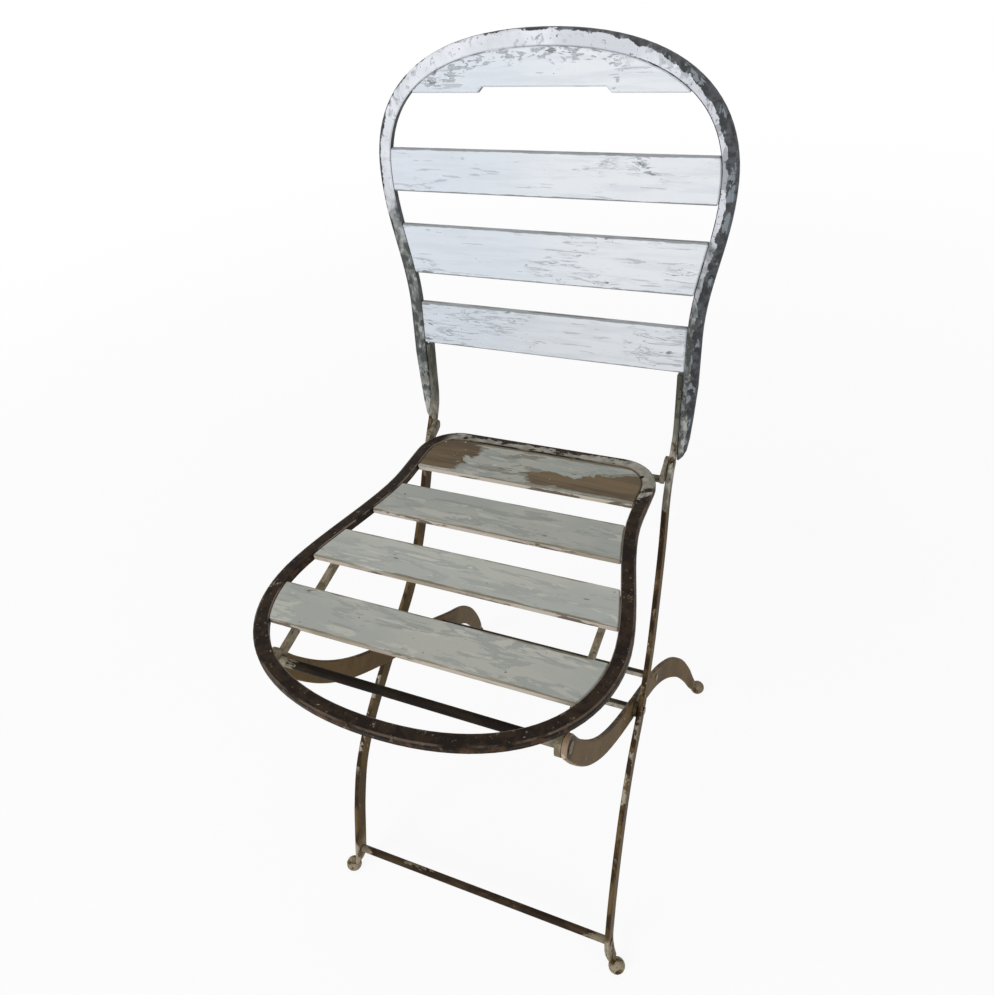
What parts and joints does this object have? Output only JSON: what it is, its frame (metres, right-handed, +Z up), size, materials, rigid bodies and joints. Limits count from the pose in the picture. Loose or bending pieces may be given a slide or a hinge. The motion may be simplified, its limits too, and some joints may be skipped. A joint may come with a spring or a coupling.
{
  "type": "folding garden chair",
  "caption": "Folding garden chair: iron hoop back and seat with painted wooden slats, curved crossing legs on ball feet, seat folding up against the back.",
  "frame": {"origin": "on the ground under the middle of the chair's box, with all four feet standing on it", "axes": "+Z up, the chair faces -Y, +X is the right side in the picture"},
  "size_m": [0.367, 0.4941, 0.8584],
  "materials": {
    "back_frame_paint": "flaking pale blue-white paint over dark iron",
    "back_slat_paint": "flaking pale blue-white paint on grey wood",
    "seat_frame_iron": "near-black worn iron with a dull sheen",
    "seat_slat_paint": "flaking grey paint with bare brown wood showing",
    "leg_iron": "brown weathered iron with remains of light paint",
    "rod_iron": "dark weathered iron with beige paint remains",
    "fitting_iron": "dull brown iron"
  },
  "bodies": {
    "frame": {"back_hoop": "back_frame_paint", "back_slat_lower": "back_slat_paint", "back_slat_middle": "back_slat_paint", "back_slat_upper": "back_slat_paint", "crest_slat": "back_slat_paint", "back_tab_lower_left": "fitting_iron", "back_tab_lower_right": "fitting_iron", "back_tab_middle_left": "fitting_iron", "back_tab_middle_right": "fitting_iron", "back_tab_upper_left": "fitting_iron", "back_tab_upper_right": "fitting_iron", "crest_tab_left": "fitting_iron", "crest_tab_right": "fitting_iron", "front_leg_left": "leg_iron", "front_leg_right": "leg_iron", "front_foot_rod": "rod_iron", "seat_hinge_rivet_left": "fitting_iron", "seat_hinge_rivet_right": "fitting_iron"},
    "rear_legs": {"rear_leg_left": "leg_iron", "rear_leg_right": "leg_iron", "front_rod": "rod_iron", "pivot_axle": "rod_iron", "rear_stretcher_rod": "rod_iron", "pivot_washer_left": "fitting_iron", "pivot_washer_right": "fitting_iron"},
    "seat": {"seat_hoop": "seat_frame_iron", "seat_slat_1": "seat_slat_paint", "seat_slat_2": "seat_slat_paint", "seat_slat_3": "seat_slat_paint", "seat_slat_4": "seat_slat_paint", "seat_tab_1_left": "fitting_iron", "seat_tab_1_right": "fitting_iron", "seat_tab_2_left": "fitting_iron", "seat_tab_2_right": "fitting_iron", "seat_tab_3_left": "fitting_iron", "seat_tab_3_right": "fitting_iron", "seat_tab_4_left": "fitting_iron", "seat_tab_4_right": "fitting_iron", "seat_hinge_arm_left": "fitting_iron", "seat_hinge_arm_right": "fitting_iron", "seat_hook_left": "fitting_iron", "seat_hook_right": "fitting_iron", "hook_bracket_left": "fitting_iron", "hook_bracket_right": "fitting_iron", "hook_rivet_left": "fitting_iron", "hook_rivet_right": "fitting_iron"}
  },
  "joints": [
    {"name": "rear_legs_fold", "type": "hinge", "parent": "frame", "child": "rear_legs", "pos_m": [0, -0.012, 0.252], "axis": [-1, 0, 0], "range_deg": [0, 72]},
    {"name": "seat_fold", "type": "hinge", "parent": "frame", "child": "seat", "pos_m": [0, 0.156, 0.4615], "axis": [-1, 0, 0], "range_deg": [0, 97.2]}
  ],
  "couplings": [
    {"joint": "seat_fold", "follows": "rear_legs_fold", "ratio": 1.35}
  ]
}
